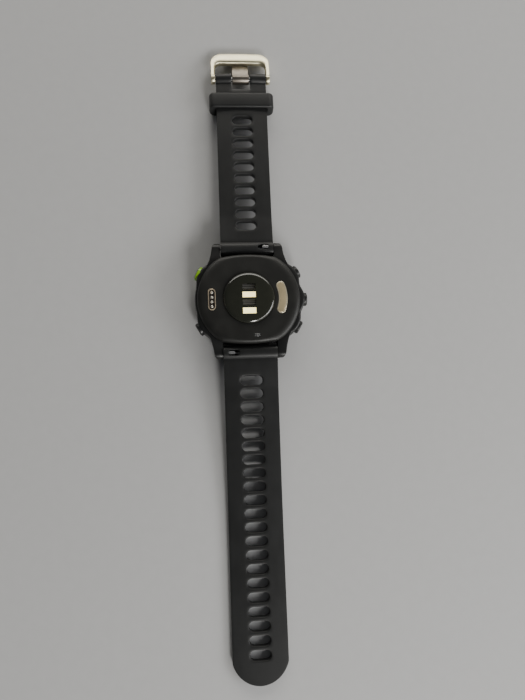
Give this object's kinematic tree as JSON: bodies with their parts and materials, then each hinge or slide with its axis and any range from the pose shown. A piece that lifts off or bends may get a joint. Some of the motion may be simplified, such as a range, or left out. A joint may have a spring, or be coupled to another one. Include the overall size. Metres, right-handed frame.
{
  "type": "gps running watch",
  "caption": "Round GPS running watch laid face down and open, with slotted silicone quick-release straps, steel buckle, keeper, side buttons and optical wrist sensor.",
  "frame": {"origin": "centre of the front glass, on the outer surface of the glass, which the watch lies on", "axes": "+X towards the side with three buttons, +Y along the buckle strap, +Z out of the back towards the wrist"},
  "size_m": [0.0464, 0.2632, 0.0133],
  "materials": {
    "case_polymer": "fine matte, fibre-reinforced",
    "bezel_polymer": "satin",
    "display_glass": "polished",
    "adhesive": "matte",
    "display": "gloss",
    "antenna": "satin",
    "chassis_metal": "cast, matte",
    "screws": "satin",
    "circuit_board": "solder mask",
    "shield_cans": "tinned",
    "battery_pouch": "foil",
    "motor_steel": "satin",
    "sounder_brass": "satin",
    "switch_plastic": "matte",
    "seal_rubber": "matte",
    "cover_polymer": "fine matte",
    "sensor_lens": "polished dark tint",
    "sensor_circuit": "solder mask",
    "led_package": "gloss",
    "photodiode": "gloss",
    "port_insulator": "matte",
    "port_metal": "satin, copper-toned",
    "contact_plating": "plated",
    "inlay_metal": "satin, warm",
    "vent_mesh": "fine mesh",
    "accent": "lime green, satin",
    "button_black": "satin",
    "spring_steel": "wire",
    "strap_silicone": "soft matte silicone",
    "bar_steel": "turned",
    "buckle_steel": "satin, polished inner edge"
  },
  "bodies": {
    "watch_case": {"case_body": "case_polymer", "bezel": "bezel_polymer", "front_glass": "display_glass", "glass_gasket": "adhesive", "display_panel": "display", "antenna_ring": "antenna", "chassis": "chassis_metal", "board_screws": "screws", "main_board": "circuit_board", "board_shields": "shield_cans", "battery": "battery_pouch", "vibration_motor": "motor_steel", "sounder": "sounder_brass", "side_switches": "switch_plastic", "button_seals": "seal_rubber", "back_cover": "cover_polymer", "back_seal": "seal_rubber", "sensor_window": "sensor_lens", "sensor_board": "sensor_circuit", "sensor_leds": "led_package", "sensor_photodiodes": "photodiode", "charge_insulator": "port_insulator", "charge_frame": "port_metal", "charge_contacts": "contact_plating", "metal_inlay": "inlay_metal", "vent_screen": "vent_mesh", "start_accent_ring": "accent", "light_button_spring": "spring_steel", "up_button_spring": "spring_steel", "down_button_spring": "spring_steel", "start_button_spring": "spring_steel", "back_button_spring": "spring_steel"},
    "short_strap": {"short_strap": "strap_silicone", "short_bar_tube": "bar_steel", "short_bar_end_pin": "bar_steel", "short_bar_spring": "spring_steel"},
    "short_release": {"short_bar_release_pin": "bar_steel"},
    "long_strap": {"long_strap": "strap_silicone", "long_bar_tube": "bar_steel", "long_bar_end_pin": "bar_steel", "long_bar_spring": "spring_steel"},
    "long_release": {"long_bar_release_pin": "bar_steel"},
    "keeper": {"keeper_loop": "strap_silicone"},
    "buckle": {"buckle_frame": "buckle_steel", "buckle_bar": "buckle_steel"},
    "tang": {"buckle_tang": "buckle_steel"},
    "light_button": {"light_button": "button_black", "light_button_clip": "spring_steel"},
    "up_button": {"up_button": "button_black", "up_button_clip": "spring_steel"},
    "down_button": {"down_button": "button_black", "down_button_clip": "spring_steel"},
    "start_button": {"start_button": "button_black", "start_button_clip": "spring_steel"},
    "back_button": {"back_button": "button_black", "back_button_clip": "spring_steel"}
  },
  "joints": [
    {"name": "light_button_press", "type": "slide", "parent": "watch_case", "child": "light_button", "axis": [-0.866, -0.5, 0], "range_m": [0, 0.0007], "stiffness_N_per_m": 2200, "springref_m": -0.0006, "deforming": ["light_button_spring"]},
    {"name": "up_button_press", "type": "slide", "parent": "watch_case", "child": "up_button", "axis": [-1, 0, 0], "range_m": [0, 0.0007], "stiffness_N_per_m": 2200, "springref_m": -0.0006, "deforming": ["up_button_spring"]},
    {"name": "down_button_press", "type": "slide", "parent": "watch_case", "child": "down_button", "axis": [-0.866, 0.5, 0], "range_m": [0, 0.0007], "stiffness_N_per_m": 2200, "springref_m": -0.0006, "deforming": ["down_button_spring"]},
    {"name": "start_button_press", "type": "slide", "parent": "watch_case", "child": "start_button", "axis": [0.866, -0.5, 0], "range_m": [0, 0.0007], "stiffness_N_per_m": 2200, "springref_m": -0.0006, "deforming": ["start_button_spring"]},
    {"name": "back_button_press", "type": "slide", "parent": "watch_case", "child": "back_button", "axis": [0.866, 0.5, 0], "range_m": [0, 0.0007], "stiffness_N_per_m": 2200, "springref_m": -0.0006, "deforming": ["back_button_spring"]},
    {"name": "short_strap_swing", "type": "hinge", "parent": "watch_case", "child": "short_strap", "pos_m": [0, 0.0218, 0.0064], "axis": [1, 0, 0], "range_deg": [-30, 85]},
    {"name": "long_strap_swing", "type": "hinge", "parent": "watch_case", "child": "long_strap", "pos_m": [0, -0.0218, 0.0064], "axis": [-1, 0, 0], "range_deg": [-30, 85]},
    {"name": "short_bar_release", "type": "slide", "parent": "short_strap", "child": "short_release", "axis": [-1, 0, 0], "range_m": [0, 0.0016], "stiffness_N_per_m": 900, "springref_m": -0.0008, "deforming": ["short_bar_spring"]},
    {"name": "long_bar_release", "type": "slide", "parent": "long_strap", "child": "long_release", "axis": [1, 0, 0], "range_m": [0, 0.0016], "stiffness_N_per_m": 900, "springref_m": -0.0008, "deforming": ["long_bar_spring"]},
    {"name": "keeper_slide", "type": "slide", "parent": "short_strap", "child": "keeper", "axis": [0, 0.9998, -0.0194], "range_m": [-0.05, 0.004]},
    {"name": "buckle_swing", "type": "hinge", "parent": "short_strap", "child": "buckle", "pos_m": [0, 0.09929, 0.0049], "axis": [1, 0, 0], "range_deg": [-60, 90]},
    {"name": "tang_swing", "type": "hinge", "parent": "buckle", "child": "tang", "pos_m": [0, 0.09929, 0.0049], "axis": [1, 0, 0], "range_deg": [-70, 0]}
  ]
}
